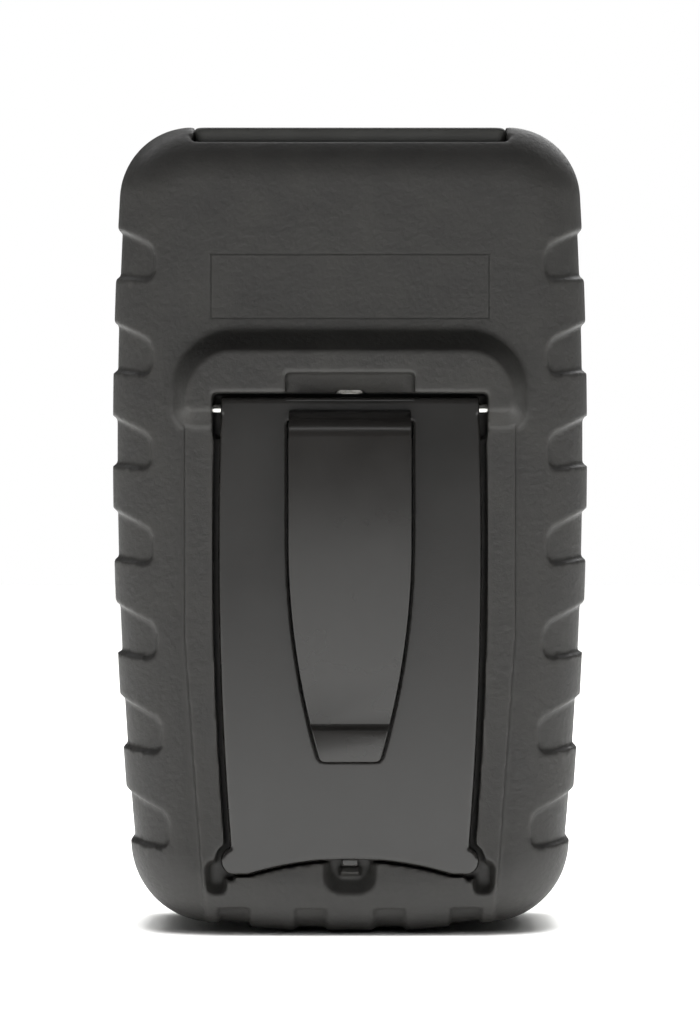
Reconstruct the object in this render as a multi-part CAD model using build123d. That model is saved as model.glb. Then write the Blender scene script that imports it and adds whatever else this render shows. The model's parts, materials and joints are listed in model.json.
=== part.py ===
"""Portable gas detector: a hard two-half housing in a ribbed rubber boot.

The boot carries a tilt stand at the back, hinged under a moulded hood, and the stand carries a belt clip.
Frame: the base rests on z = 0, +Z runs up to the top end, the display faces -Y and the stand faces +Y.
All sizes are millimetres.
"""

import os

from build123d import *

os.makedirs("parts", exist_ok=True)

# overall sizes of the boot
boot_height = 165.0
boot_width = 97.5  # over the widest ribs
boot_depth = 45.0  # front lip to the flat of the back, without hood or clip
back_y = 20.0  # the flat of the back
widest_z = 100.0
side_radius = 900.0  # bow of each side

# boot
base_flat_half = 12.0  # half the width of the level part of the base
base_rise = 3.2  # how far the base lifts at the sides
top_corner_radius = 15.0
base_corner_radius = 17.0
base_bend_radius = 60.0
back_edge_radius = 12.0
front_edge_radius = 6.0
boot_side_wall = 6.5
boot_base_wall = 4.6
boot_top_wall = 4.4
boot_back_wall = 6.0
boot_front_lip = 2.6
fit_gap = 0.1  # boot to housing
part_gap = 0.3  # loose pieces to their seats

rib_height = 0.95
base_rib_height = 0.75
rib_pitch = 19.17
rib_count = 7
first_pocket_z = 18.9  # lower edge of the lowest side pocket
pocket_reach = 8.6  # how far a side pocket runs in from the side
pocket_rise = 5.9  # its height at the inner end
pocket_slant = 4.3  # how much higher it is at the side
pocket_drop = 1.3  # how much lower its floor edge is at the inner end than at the side
pocket_top_radius = 3.4
pocket_low_radius = 2.0
pocket_mouth_round = 0.8  # corner share of a sloping pocket's half width, at its mouth
pocket_floor_round = 0.6  # and at its floor
pocket_foot_run = 2.6  # how much longer its foot slopes than its sides
pocket_overcut = 0.2
same_place = 0.01
lap = 0.1  # how far joined shapes run into each other
inner_base_pocket_x = 8.0  # middle of each of the two pairs of base pockets
inner_base_pocket_width = 6.6
outer_base_pocket_x = 23.6
outer_base_pocket_width = 6.6
base_pocket_rise = 5.8

window_side = 12.0  # boot side to the front window
window_base = 13.5
window_top = 11.5
window_radius = 8.0

label_half = 28.3
label_height = 13.3
label_z = 131.6
label_line = 0.4
label_depth = 0.3

# hinge, hood and rails
hinge_z = 106.9
boss_radius = 2.3
pin_radius = 1.05
pin_clearance = 0.04
pin_reach = 5.0  # how far a pin runs into the boot
pin_grip = 6.0  # how far it runs into the stand
heel_back = 1.6  # the heel that stops the stand
heel_top = 2.35
heel_gap = 0.15
brow_radius = 1.0  # the plate's upper edge, over the hinge
brow_clearance = 0.1

hood_rise = 5.5
hood_base_half = 36.3
hood_base_top = 123.3
hood_base_low = 101.8
hood_face_half = 32.7
hood_face_top = 118.4
hood_face_low = 106.4
hood_base_radius = 13.0
hood_face_radius = 9.0
hood_base_low_radius = 5.0
hood_face_low_radius = 1.0
lip_gap = 0.8  # hood lip over the stand
notch_half = 13.0  # the notch clears the clip's crown as the stand opens
notch_height = 3.9
notch_step = 1.2  # its depth at the top
notch_depth = 5.2  # and at the lip

rail_height = 1.2
rail_top_half = 33.3
rail_foot_half = 29.0
rail_taper_z = 60.0
rail_lap = 5.0  # how far a rail runs up behind the hood

thumb_half = 5.6
thumb_foot_z = 7.8
thumb_slope = 1.7
thumb_lap = 3.0  # how far it runs up under the stand
catch_half = 2.0
catch_height = 1.3
catch_gap = 0.2
catch_lean = 0.4
foot_pocket_x = 27.0
foot_pocket_half = 2.5
foot_pocket_z = 7.4
foot_pocket_slope = 1.2
lobe_drop = 0.8  # top of the foot pockets below the middle of the stand's lobes

detent_half = 2.9
detent_thickness = 0.6
detent_length = 4.0
detent_corner_radius = 1.16
detent_pip_half = 1.74

# stand
stand_face_y = 20.9
stand_thickness = 2.8
stand_top_half = 26.0
stand_mid_half = 26.65
stand_mid_z = 76.0
stand_low_half = 24.2
stand_low_z = 18.0
stand_toe_drop = 3.0
stand_base_z = 15.7  # middle of the hollow lower edge
stand_toe_z = 12.6
stand_toe_x = 20.6
lobe_x = 23.2
lobe_z = 15.5
lobe_radius = 2.9
side_gap = 1.15
end_gap = 0.4
floor_gap = 0.5
tab_half = 1.6
tab_drop = 1.4
tab_thickness = 1.3
stand_edge = 0.5

# belt clip
clip_half = 12.3
clip_tip_half = 5.9
clip_thickness = 1.9
clip_standoff = 6.8  # stand face to the clip's outer face
clip_top_z = 106.5
clip_bend_radius = 5.6
clip_taper_z = 80.0
clip_crease_z = 86.2
clip_dip_z = 43.4
clip_dip_height = 1.3
clip_tip_z = 36.0
clip_lean = 1.3  # how far the lower tongue comes in
clip_lip_step = 0.9
clip_lip_flare = 0.3
clip_gap = 0.45
clip_root_radius = 1.4
clip_root_clearance = 0.06
clip_pivot_drop = 2.2  # clip top to its pivot
clip_tip_radius = 1.2

# housing
housing_wall = 2.2
housing_corner_radius = 12.0
housing_back_radius = 6.0
housing_front_radius = 2.5
least_radius = 0.2
parting_y = -4.0
bezel_gap = 0.5
bezel_height = 1.8
screw_radius = 1.5
screw_head_radius = 2.8
screw_head_height = 2.2
screw_boss_radius = 3.4
screw_inset = 4.6  # boss centre to the housing's side
screw_end_inset = 9.0  # boss centre to the housing's ends
screw_mid_z = 79.0
screw_bite = 8.0
screw_clearance = 0.15
socket_sides = 6
cross_share = 0.6  # a cross recess against its screw's head
cross_half = 0.2
small_head_height = 1.0
head_sink = 0.05  # how far small screw heads lie below their face
gasket_width = 0.9
gasket_height = 1.2

door_base_z = 27.0
door_lap = 2.0
door_thickness = 1.0
door_seal_thickness = 0.6
door_corner_radius = 4.0
door_ear = 4.0
door_boss = 4.0
door_boss_radius = 2.2
door_head_height = 0.5
door_ear_radius = 2.4
door_grip_half = 12.0
door_grip_low = 6.0  # above the door's foot
door_grip_high = 10.0
door_grip_radius = 1.9
door_screw_radius = 1.0
cell_radius = 9.2
cell_length = 65.0
cell_gap = 1.6  # between the two cells
cell_side_room = 2.8  # beside them, to the tray
cell_end_room = 2.5  # at each end, for the contacts
cell_seat = 0.2  # a cell above the tray's floor
cell_edge = 0.8
cell_cap_radius = 3.0
cell_cap_height = 0.8
tray_wall = 1.4
tray_saddle = 4.0
tray_depth_spare = 2.2
contact_thickness = 0.6
contact_spring_radius = 4.0
contact_spring_tip = 2.4

# front controls
lens_half = 31.0
lens_base_z = 82.0
lens_height = 40.0
lens_thickness = 1.5
lens_radius = 3.0
lens_ledge = 2.0
key_travel = 0.8
key_half_x = 8.0
key_half_z = 4.6
key_radius = 2.0
key_pitch = 20.0
key_row_z = 63.0
power_key_radius = 6.2
power_key_z = 41.5
key_flange = 1.1
key_flange_thickness = 0.8
key_proud = 0.6
key_edge = 0.5
press_gap = 0.15
mat_thickness = 0.8
mat_half = 29.5
mat_margin = 6.0
mat_radius = 3.0
sounder_z = 23.5
sounder_radius = 8.0
sounder_thickness = 1.5
sounder_hole_radius = 0.9
sounder_ring_radius = 3.4
sounder_holes = 6

sensor_count = 4
sensor_pitch = 18.6
sensor_radius = 8.0
sensor_length = 12.0
sensor_z = 141.0
sensor_mouth_radius = 5.4
sensor_mouth_rise = 0.8
sensor_edge = 0.5
sensor_pins = 3
sensor_pin_radius = 0.5
sensor_pin_circle = 4.8
sensor_board_margin = 2.0
amplifier_half_x = 8.0
amplifier_half_z = 3.0
amplifier_height = 1.2
filter_radius = 7.0
filter_thickness = 0.5
cover_half = 35.4
cover_height = 20.0
cover_thickness = 2.0
cover_radius = 4.0
grille_pitch = 2.6
grille_bar = 1.1
cover_screw_radius = 1.0
cover_screw_head = 1.8
cover_screw_inset = 3.2
cover_screw_floor = 0.4  # wall left under a cover screw's hole
cover_slot_margin = 0.4

board_half = 33.0
board_base_z = 17.5
board_top_z = 128.0
board_thickness = 1.6
board_screw_x = 30.6
board_screw_inset = 3.0
post_bore = 1.5  # how far a board screw's hole runs into the front wall
board_part_gap = 2.0  # cell tray to the larger parts
processor_half = 7.0
processor_height = 1.6
coil_x = -18.0
coil_radius = 4.5
coil_height = 4.0
memory_x = -26.0
memory_half = 2.0
memory_height = 1.2
memory_rise = 3.0
memory_length = 8.0
header_x = 20.0
header_half = 8.0
header_height = 3.0
header_rise = 12.0
header_depth = 3.0
post_radius = 2.2
display_half = 29.9
display_thickness = 2.4
display_inset = 1.0  # display to the window's seat, above and below
ribbon_height = 4.0

motor_radius = 3.5
motor_length = 12.0
motor_x = 12.0
motor_z = 113.0
motor_shaft_radius = 0.8
motor_shaft_length = 6.0
motor_shaft_grip = 4.0
motor_cradle_length = 9.0
motor_cradle_wall = 1.5
motor_nose_radius = 1.575
motor_nose_length = 0.8
weight_radius = 3.0
weight_length = 4.0
weight_end = 0.5  # shaft left beyond the weight
weight_web = 0.6

# top end
cap_half = 31.8
cap_front_y = -15.0
cap_back_y = 14.6
cap_edge = 0.8
cap_gap = 0.15  # the boot hugs it
cap_drop = 0.6  # how far the cap lies below the top of the boot
cap_corner = 2.0
cap_screw_x = 28.0
cap_screw_y = -11.0
cap_show = 3.8  # how much of the cap stands over the boot's back wall
ramp_run = 4.0
alarm_half = 13.0
alarm_depth = 11.0
alarm_y = 0.0
alarm_thickness = 2.2
alarm_radius = 2.0
alarm_edge = 0.5
lamp_count = 4
lamp_pitch = 5.2
lamp_margin = 1.5  # lamp board to the lens, all round
lamp_board_thickness = 0.8
lamp_half = 1.4
port_x = 22.5
port_y = 3.0
port_half = 4.6
flap_half = 5.6
flap_thickness = 1.5
flap_nick_radius = 0.7
flap_nick_half = 2.0
barrel_radius = 0.75
barrel_pin_radius = 0.35
port_block_depth = 6.0
pad_count = 4
pad_half = 0.6


def box(x0, x1, y0, y1, z0, z1):
    """A block between two corners."""
    return Pos((x0 + x1) / 2, (y0 + y1) / 2, (z0 + z1) / 2) * Box(x1 - x0, y1 - y0, z1 - z0)


def along_y(face, y0, y1):
    """A face drawn as (x, z), made into a solid between two depths."""
    return extrude(Pos(0, y1, 0) * Rot(90, 0, 0) * face, amount=y1 - y0, dir=(0, -1, 0))


def along_x(face, x0, x1):
    """A face drawn as (y, z), made into a solid between two widths."""
    return extrude(Plane(origin=(x0, 0, 0), x_dir=(0, 1, 0), z_dir=(1, 0, 0)) * face, amount=x1 - x0)


def rod_x(y, z, radius, x0, x1):
    return Pos((x0 + x1) / 2, y, z) * Rot(0, 90, 0) * Cylinder(radius, x1 - x0)


def rod_y(x, z, radius, y0, y1):
    return Pos(x, (y0 + y1) / 2, z) * Rot(90, 0, 0) * Cylinder(radius, y1 - y0)


def rod_z(x, y, radius, z0, z1):
    return Pos(x, y, (z0 + z1) / 2) * Cylinder(radius, z1 - z0)


def panel(half, z0, z1, radius, x=0.0):
    """A rounded rectangle drawn as (x, z)."""
    return Pos(x, (z0 + z1) / 2) * RectangleRounded(2 * half, z1 - z0, radius)


def sharp_panel(half, z0, z1):
    """A rectangle drawn as (x, z)."""
    return Pos(0, (z0 + z1) / 2) * Rectangle(2 * half, z1 - z0)


def both_sides(solid):
    """A solid on +x with its mirror image on -x."""
    return solid + mirror(solid, about=Plane.YZ)


def joined(solids):
    """Many solids as one shape."""
    made = solids[0]
    for other in solids[1:]:
        made = made + other
    return made


def save(name, shape):
    """One file for each piece, holding its plain solids."""
    solids = list(shape.solids())
    whole = solids[0] if len(solids) == 1 else Compound(children=solids)
    export_step(whole, f"parts/{name}.step")
    print(name, len(solids), "solids", round(sum(solid.volume for solid in solids)), "mm3")


# places that follow from the sizes
front_y = back_y - boot_depth
rear_edge_z = boot_height - cap_show
cap_top_z = boot_height - cap_drop
housing_half = boot_width / 2 - boot_side_wall
housing_base_z = boot_base_wall
housing_top_z = boot_height - boot_top_wall
housing_back_y = back_y - boot_back_wall
housing_front_y = front_y + boot_front_lip
inner_back_y = housing_back_y - housing_wall
inner_front_y = housing_front_y + housing_wall
window_half = boot_width / 2 - window_side
window_top_z = boot_height - window_top
bezel_face_y = housing_front_y - bezel_height
hinge_y = stand_face_y - boss_radius
stand_back_y = stand_face_y - stand_thickness
stand_floor_y = stand_back_y - floor_gap
heel_radius = (heel_back**2 + heel_top**2) ** 0.5
hinge_floor_y = hinge_y - heel_radius - heel_gap
lip_z = hinge_z + boss_radius + lip_gap
rail_face_y = back_y + rail_height
hood_face_y = back_y + hood_rise
clip_face_y = stand_face_y + clip_standoff
clip_pivot_z = clip_top_z - clip_pivot_drop
clip_pivot_y = stand_back_y + clip_root_radius - 0.6
board_y = inner_front_y + key_flange_thickness + key_travel + press_gap + mat_thickness
board_back_y = board_y + board_thickness
motor_y = inner_back_y - motor_radius - 1.0
cell_pitch = 2 * cell_radius + cell_gap
door_half = cell_pitch / 2 + cell_radius + cell_side_room + door_lap
door_height = cell_length + 2 * (cell_end_room + door_lap)


# boot
def side_at(z):
    """Half the boot's width at a height."""
    return boot_width / 2 - (z - widest_z) ** 2 / (2 * side_radius)


def boot_outline():
    """The boot from behind, drawn as (x, z): level base, bowed sides, round corners."""
    low = (side_at(base_rise), base_rise)
    top = (side_at(boot_height), boot_height)
    side = ThreePointArc(low, (side_at(widest_z), widest_z), top)
    base = Polyline(low, (base_flat_half, 0), (-base_flat_half, 0), (-low[0], low[1]))
    lid = Line(top, (-top[0], top[1]))
    face = make_face([side, base, mirror(side, about=Plane.YZ), lid])
    corners = face.vertices().group_by(Axis.Y)
    face = fillet(corners[-1], top_corner_radius)
    corners = [v for v in face.vertices() if abs(v.Y - base_rise) < same_place]
    face = fillet(corners, base_corner_radius)
    return fillet([v for v in face.vertices() if abs(v.Y) < same_place], base_bend_radius)


def boot_body(inset=0.0, lift=0.0):
    """The boot's outer form, inset all over, or with its back lifted."""
    outline = offset(boot_outline(), -inset) if inset else boot_outline()
    body = along_y(outline, front_y + inset, back_y - inset + lift)
    body = fillet(body.edges().group_by(Axis.Y)[-1], back_edge_radius - inset)
    return fillet(body.edges().group_by(Axis.Y)[0], front_edge_radius - inset)


def side_pocket(z):
    """One hollow between two side ribs, drawn as (x, z): slanting top, round inner end."""
    inner = side_at(z) - pocket_reach
    outer = side_at(z) + pocket_reach
    top = z + pocket_rise
    face = make_face(
        Polyline((inner, z - pocket_drop), (outer, z + pocket_drop), (outer, top + 2 * pocket_slant),
                 (inner, top), close=True)
    )
    ends = face.vertices().group_by(Axis.X)[0].sort_by(Axis.Y)
    face = fillet(ends[-1], pocket_top_radius)
    return fillet(face.vertices().group_by(Axis.Y)[0].sort_by(Axis.X)[0], pocket_low_radius)


def side_pockets():
    """The hollows between the side ribs, as deep as the ribs are high."""
    faces = [side_pocket(first_pocket_z + rib_pitch * i) for i in range(rib_count)]
    cutters = joined([along_y(face, front_y - 1, back_y + 1) for face in faces])
    return both_sides(cutters) - boot_body(rib_height)


def base_pockets():
    """The hollows across the base, which run up the round of the back."""
    inner = Pos(inner_base_pocket_x, 0) * Rectangle(inner_base_pocket_width, 2 * base_pocket_rise)
    outer = Pos(outer_base_pocket_x, 0) * Rectangle(outer_base_pocket_width, 2 * base_pocket_rise)
    cutters = joined([along_y(face, front_y - 1, rail_face_y + 1) for face in (inner, outer)])
    return both_sides(cutters) - boot_body(base_rib_height, rail_height)


def stand_outline():
    """The stand from behind, drawn as (x, z): bowed sides, round toes, hollow lower edge."""
    top = (stand_top_half, lip_z)
    low = (stand_low_half, stand_low_z)
    side = ThreePointArc(top, (stand_mid_half, stand_mid_z), low)
    foot = Line(low, (stand_toe_x, stand_low_z - stand_toe_drop))
    toe = Line(foot @ 1, (stand_toe_x, stand_toe_z))
    hollow = ThreePointArc((stand_toe_x, stand_toe_z), (0, stand_base_z), (-stand_toe_x, stand_toe_z))
    lid = Line(top, (-top[0], top[1]))
    halves = [side, foot, toe]
    face = make_face(halves + [mirror(edge, about=Plane.YZ) for edge in halves] + [hollow, lid])
    lobe = Pos(lobe_x, lobe_z) * Circle(lobe_radius)
    web = make_face(
        Polyline((stand_toe_x, stand_toe_z), (lobe_x, lobe_z - lobe_radius), (lobe_x, lobe_z), low,
                 (stand_toe_x, stand_low_z), close=True)
    )
    return face + lobe + web + mirror(lobe + web, about=Plane.YZ)


def stand_recess():
    """The room for the stand: open at its sides, close below its lower edge."""
    outline = stand_outline()
    wide = offset(outline, side_gap, kind=Kind.INTERSECTION)
    close = offset(outline, end_gap, kind=Kind.INTERSECTION)
    low_side = Rectangle(2 * lobe_x, 2 * (stand_base_z + end_gap))
    face = (wide - low_side) + close
    below_lip = Pos(0, lip_z / 2) * Rectangle(boot_width, lip_z)
    recess = along_y(face & below_lip, stand_floor_y, hood_face_y + 1)
    turning = box(-stand_mid_half - side_gap, stand_mid_half + side_gap, hinge_floor_y,
                  hood_face_y + 1, clip_pivot_z - clip_root_radius - 2, lip_z)
    return recess + turning


def hood():
    """The raised bridge over the hinge, sloped on its outer sides."""
    base = sharp_panel(hood_base_half, hood_base_low, hood_base_top)
    base = fillet(base.vertices().group_by(Axis.Y)[-1], hood_base_radius)
    base = fillet(base.vertices().group_by(Axis.Y)[0], hood_base_low_radius)
    face = sharp_panel(hood_face_half, hood_face_low, hood_face_top)
    face = fillet(face.vertices().group_by(Axis.Y)[-1], hood_face_radius)
    face = fillet(face.vertices().group_by(Axis.Y)[0], hood_face_low_radius)
    low = Pos(0, back_y - 0.5, 0) * Rot(90, 0, 0) * base
    high = Pos(0, hood_face_y, 0) * Rot(90, 0, 0) * face
    return loft([low, high])


def rails():
    """The raised band round the stand, which fades into the round of the base."""
    taper = (rail_top_half - rail_foot_half) / rail_taper_z
    foot = rail_foot_half - taper
    top_z = hood_base_low + rail_lap
    half = Polyline((0, -1), (foot, -1), (rail_top_half, rail_taper_z), (rail_top_half, top_z),
                    (0, top_z), close=True)
    pad = along_y(make_face(half), back_y - back_edge_radius, rail_face_y)
    return both_sides(pad) & boot_body(0, rail_height)


def sloping_pocket(x, half, foot_z, top_z, slope, floor_y):
    """A hollow with sloping sides and a round foot, deep above and running out below."""
    mouth = panel(half, foot_z, top_z + slope, half * pocket_mouth_round, x)
    floor = panel(half - slope, foot_z + pocket_foot_run * slope, top_z,
                  (half - slope) * pocket_floor_round, x)
    high = Pos(0, rail_face_y + pocket_overcut, 0) * Rot(90, 0, 0) * mouth
    low = Pos(0, floor_y, 0) * Rot(90, 0, 0) * floor
    return loft([low, high])


def catch():
    """The bump that the stand's tab snaps over."""
    top_z = stand_base_z - tab_drop - catch_gap
    low_z = top_z - catch_height
    profile = Polyline((stand_floor_y - 1, low_z - 1), (back_y - catch_lean, low_z),
                       (stand_back_y + catch_lean, top_z), (stand_floor_y - 1, top_z), close=True)
    return along_x(make_face(profile), -catch_half, catch_half)


def notch():
    """The scoop in the hood's lip, deepest at the lip."""
    top_z = lip_z + notch_height
    profile = Polyline((hood_face_y - notch_depth, lip_z - 0.5), (hood_face_y - notch_depth, lip_z),
                       (hood_face_y - notch_step, top_z), (hood_face_y + 1, top_z),
                       (hood_face_y + 1, lip_z - 0.5), close=True)
    return along_x(make_face(profile), -notch_half, notch_half)


def label_frame():
    """A fine engraved rectangle for the owner's label."""
    low = label_z - label_height / 2
    high = label_z + label_height / 2
    outer = box(-label_half, label_half, back_y - label_depth, back_y + 1, low, high)
    inner = box(-label_half + label_line, label_half - label_line, back_y - 1, back_y + 2,
                low + label_line, high - label_line)
    return outer - inner


def housing_form(inset):
    """The housing's outer form, or its inside when inset by the wall."""
    outline = panel(housing_half - inset, housing_base_z + inset, housing_top_z - inset,
                    housing_corner_radius - inset)
    form = along_y(outline, housing_front_y + inset, housing_back_y - inset)
    form = fillet(form.edges().group_by(Axis.Y)[-1], housing_back_radius - inset)
    front_radius = max(housing_front_radius - inset, least_radius)
    return fillet(form.edges().group_by(Axis.Y)[0], front_radius)


def cap_room(gap):
    """The opening in the boot's top end, with ramped ends."""
    room = box(-cap_half - gap, cap_half + gap, cap_front_y - gap, cap_back_y + gap,
               housing_top_z - 1, boot_height + 1)
    ramp = Polyline((0, rear_edge_z), (cap_half, rear_edge_z), (cap_half + ramp_run, boot_height + 0.5),
                    (0, boot_height + 0.5), close=True)
    return room + both_sides(along_y(make_face(ramp), cap_back_y, back_y))


def make_boot():
    window = along_y(panel(window_half, window_base, window_top_z, window_radius), front_y - 1,
                     housing_front_y + 1)
    shell = boot_body() - side_pockets()
    shell = shell + rails() - base_pockets() + hood()
    shell = shell - stand_recess()
    shell = shell - sloping_pocket(0, thumb_half, thumb_foot_z, stand_base_z + thumb_lap, thumb_slope,
                                   stand_floor_y)
    foot_pocket_top_z = lobe_z - lobe_drop
    for side in (-1, 1):
        shell = shell - sloping_pocket(side * foot_pocket_x, foot_pocket_half, foot_pocket_z,
                                       foot_pocket_top_z, foot_pocket_slope, stand_floor_y)
    shell = shell + catch()
    shell = shell - notch()
    shell = shell - box(-detent_half, detent_half, hood_face_y - notch_depth - detent_length,
                        hood_face_y, lip_z - lap, lip_z + detent_thickness)
    pin_x = stand_mid_half + side_gap + pin_reach
    shell = shell - rod_x(hinge_y, hinge_z, pin_radius, -pin_x, pin_x)
    shell = shell - label_frame() - window - housing_form(-fit_gap) - cap_room(cap_gap)
    return shell


# stand, pins, detent leaf and belt clip
def clip_outline(gap):
    """The clip from behind, drawn as (x, z): parallel, then bowed in to a narrow tip."""
    half = clip_half + gap
    tip = clip_tip_half + gap
    foot_z = clip_tip_z - gap
    drop = clip_taper_z - foot_z
    bow = (drop**2 + (half - tip) ** 2) / (2 * (half - tip))  # tangent to the parallel sides
    middle = half - bow + (bow**2 - (drop / 2) ** 2) ** 0.5
    side = ThreePointArc((half, clip_taper_z), (middle, clip_taper_z - drop / 2), (tip, foot_z))
    straight = Line((half, lip_z), (half, clip_taper_z))
    lid = Line((-half, lip_z), (half, lip_z))
    foot = Line((-tip, foot_z), (tip, foot_z))
    other_side = [mirror(straight, about=Plane.YZ), mirror(side, about=Plane.YZ)]
    face = make_face([lid, straight, side, foot] + other_side)
    return fillet(face.vertices().group_by(Axis.Y)[0], clip_tip_radius + gap)


def clip_section():
    """The clip from the side, drawn as (y, z): a skin of even thickness from crown to lip."""
    t = clip_thickness
    root_y = stand_face_y + part_gap
    bend_y = clip_face_y - clip_bend_radius
    bend_z = clip_top_z - clip_bend_radius
    dip_y = clip_face_y - clip_lean
    step_z = clip_dip_z - clip_dip_height
    lip_y = dip_y + clip_lip_step
    tip_y = lip_y + clip_lip_flare
    front = [(clip_face_y, bend_z), (clip_face_y, clip_crease_z), (dip_y, clip_dip_z), (lip_y, step_z),
             (tip_y, clip_tip_z)]
    back = [(y - t, z) for y, z in reversed(front)]
    outer = Polyline(front + back)
    crown = Polyline((bend_y, clip_top_z - t), (root_y, clip_top_z - t), (root_y, clip_top_z),
                     (bend_y, clip_top_z))
    outer_bend = CenterArc((bend_y, bend_z), clip_bend_radius, 0, 90)
    inner_bend = CenterArc((bend_y, bend_z), clip_bend_radius - t, 0, 90)
    return make_face([outer, crown, outer_bend, inner_bend])


def clip_neck():
    """What joins the clip's crown to its root bar, drawn as (y, z)."""
    inside = stand_face_y + part_gap
    low = clip_pivot_z - clip_root_radius
    return make_face(
        Polyline((clip_pivot_y, low), (inside + clip_thickness, low),
                 (clip_face_y - clip_bend_radius, clip_top_z - clip_thickness), (inside, clip_top_z),
                 (inside, clip_pivot_z - part_gap), (clip_pivot_y, clip_pivot_z - part_gap), close=True)
    )


def make_clip():
    """One moulding: root bar, crown, creased tongue and flared lip."""
    tongue = along_x(clip_section(), -clip_half, clip_half)
    tongue = tongue & along_y(clip_outline(0), stand_back_y, clip_face_y + 1)
    bar = rod_x(clip_pivot_y, clip_pivot_z, clip_root_radius, -clip_half, clip_half)
    return tongue + bar + along_x(clip_neck(), -clip_half, clip_half)


def make_stand():
    """The tilt stand: a plate with a round hinge end, a heel, a tab and the clip's window."""
    wide = boot_width / 2
    deep_y = hinge_y - boss_radius
    outline = stand_outline()
    below_hinge = Pos(0, hinge_z / 2) * Rectangle(2 * wide, hinge_z)
    flat = along_y(outline & below_hinge, stand_back_y, stand_face_y)
    rim = [edge for edge in flat.edges().group_by(Axis.Y)[-1] if edge.center().Z < hinge_z - lap]
    flat = chamfer(rim, stand_edge)
    block = box(-wide, wide, deep_y, stand_back_y + 0.5, clip_pivot_z - clip_root_radius - 1, hinge_z)
    boss = rod_x(hinge_y, hinge_z, boss_radius, -wide, wide)
    heel = box(-wide, wide, hinge_y - heel_back, hinge_y, hinge_z, hinge_z + heel_top)
    brow = box(-wide, wide, hinge_y, stand_face_y, hinge_z - 1, hinge_z + boss_radius)
    brow = fillet(brow.edges().filter_by(Axis.X).sort_by(Axis.Y)[-2:].sort_by(Axis.Z)[-1], brow_radius)
    plate = flat + ((block + boss + heel + brow) & along_y(outline, deep_y - 1, stand_face_y))
    window = along_y(clip_outline(clip_gap), deep_y - 1, stand_face_y + 1)
    below_pivot = box(-wide, wide, deep_y - 1, stand_face_y + 1, 0, clip_pivot_z)
    plate = plate - (window & below_pivot)
    socket_half = clip_half + clip_gap
    plate = plate - rod_x(clip_pivot_y, clip_pivot_z, clip_root_radius + clip_root_clearance, -socket_half,
                          socket_half)
    bore = rod_x(hinge_y, hinge_z, pin_radius + pin_clearance, stand_top_half - pin_grip, wide)
    tab = box(-tab_half, tab_half, stand_back_y, stand_back_y + tab_thickness, stand_base_z - tab_drop,
              stand_base_z + 1)
    return plate + tab - both_sides(bore)


def make_pins():
    """The two hinge pins: fast in the boot, free in the stand."""
    inner = stand_top_half - pin_grip + part_gap
    outer = stand_mid_half + side_gap + pin_reach
    return both_sides(rod_x(hinge_y, hinge_z, pin_radius, inner, outer))


def make_detent():
    """The leaf over the stand's round end, in the hood's underside."""
    back = hood_face_y - notch_depth
    leaf = box(-detent_half, detent_half, back - detent_length, back, lip_z, lip_z + detent_thickness)
    leaf = fillet(leaf.edges().filter_by(Axis.Z).group_by(Axis.Y)[-1], detent_corner_radius)
    brow_reach = brow_radius + (boss_radius - brow_radius) * 2**0.5
    pip_low_z = hinge_z + brow_reach + brow_clearance
    pip = rod_x(hinge_y, lip_z, lip_z - pip_low_z, -detent_pip_half, detent_pip_half)
    return leaf + pip


# housing
def screw_places():
    """Where the housing's six screws go, as (x, z)."""
    x = housing_half - screw_inset
    heights = (housing_base_z + screw_end_inset, screw_mid_z, housing_top_z - screw_end_inset)
    return [(side * x, z) for side in (-1, 1) for z in heights]


def bosses(y0, y1):
    return joined([rod_y(x, z, screw_boss_radius, y0, y1) for x, z in screw_places()])


def gasket_ring():
    """The ring between the housing halves, in the middle of the wall."""
    middle = housing_wall / 2
    width = gasket_width / 2
    low = housing_base_z + middle
    high = housing_top_z - middle
    half = housing_half - middle
    radius = housing_corner_radius - middle
    outer = panel(half + width, low - width, high + width, radius + width)
    inner = panel(half - width, low + width, high - width, radius - width)
    return along_y(outer - inner, parting_y, parting_y + gasket_height)


def door_panel(lap, y0, y1):
    """The battery door's place in the back, larger or smaller by a lap."""
    top_z = door_base_z + door_height
    return along_y(panel(door_half + lap, door_base_z - lap, top_z + lap, door_corner_radius + lap), y0, y1)


def door_screw_places():
    """The door's two screws, in ears beyond its ends."""
    return [(0, door_base_z - door_ear / 2), (0, door_base_z + door_height + door_ear / 2)]


def door_form(gap):
    """The door with its two ears, as drawn from behind."""
    reach = door_height / 2 + door_ear
    middle = door_base_z + door_height / 2
    plate = panel(door_half - gap, door_base_z + gap, door_base_z + door_height - gap, door_corner_radius)
    ears = panel(door_ear - gap, middle - reach + gap, middle + reach - gap, door_ear_radius)
    return plate + ears


def key_shapes(gap):
    """The four keys, drawn as (x, z), larger by a gap."""
    shapes = {}
    for name, x in (("up", -key_pitch), ("enter", 0), ("down", key_pitch)):
        shapes[name] = Pos(x, key_row_z) * RectangleRounded(2 * (key_half_x + gap), 2 * (key_half_z + gap),
                                                            key_radius + gap)
    shapes["power"] = Pos(0, power_key_z) * Circle(power_key_radius + gap)
    return shapes


def sensor_places():
    return [sensor_pitch * (i - (sensor_count - 1) / 2) for i in range(sensor_count)]


def cover_screw_places():
    x = cover_half - cover_screw_inset
    z = cover_height / 2 - cover_screw_inset
    return [(side * x, sensor_z + end * z) for side in (-1, 1) for end in (-1, 1)]


def board_screw_places():
    heights = (board_base_z + board_screw_inset, board_top_z - board_screw_inset)
    return [(side * board_screw_x, z) for side in (-1, 1) for z in heights]


def port_opening():
    """The hole in the housing's top for the charging contacts."""
    return box(port_x - port_half, port_x + port_half, port_y - port_half, port_y + port_half,
               housing_top_z - port_block_depth, housing_top_z + 1)


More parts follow.
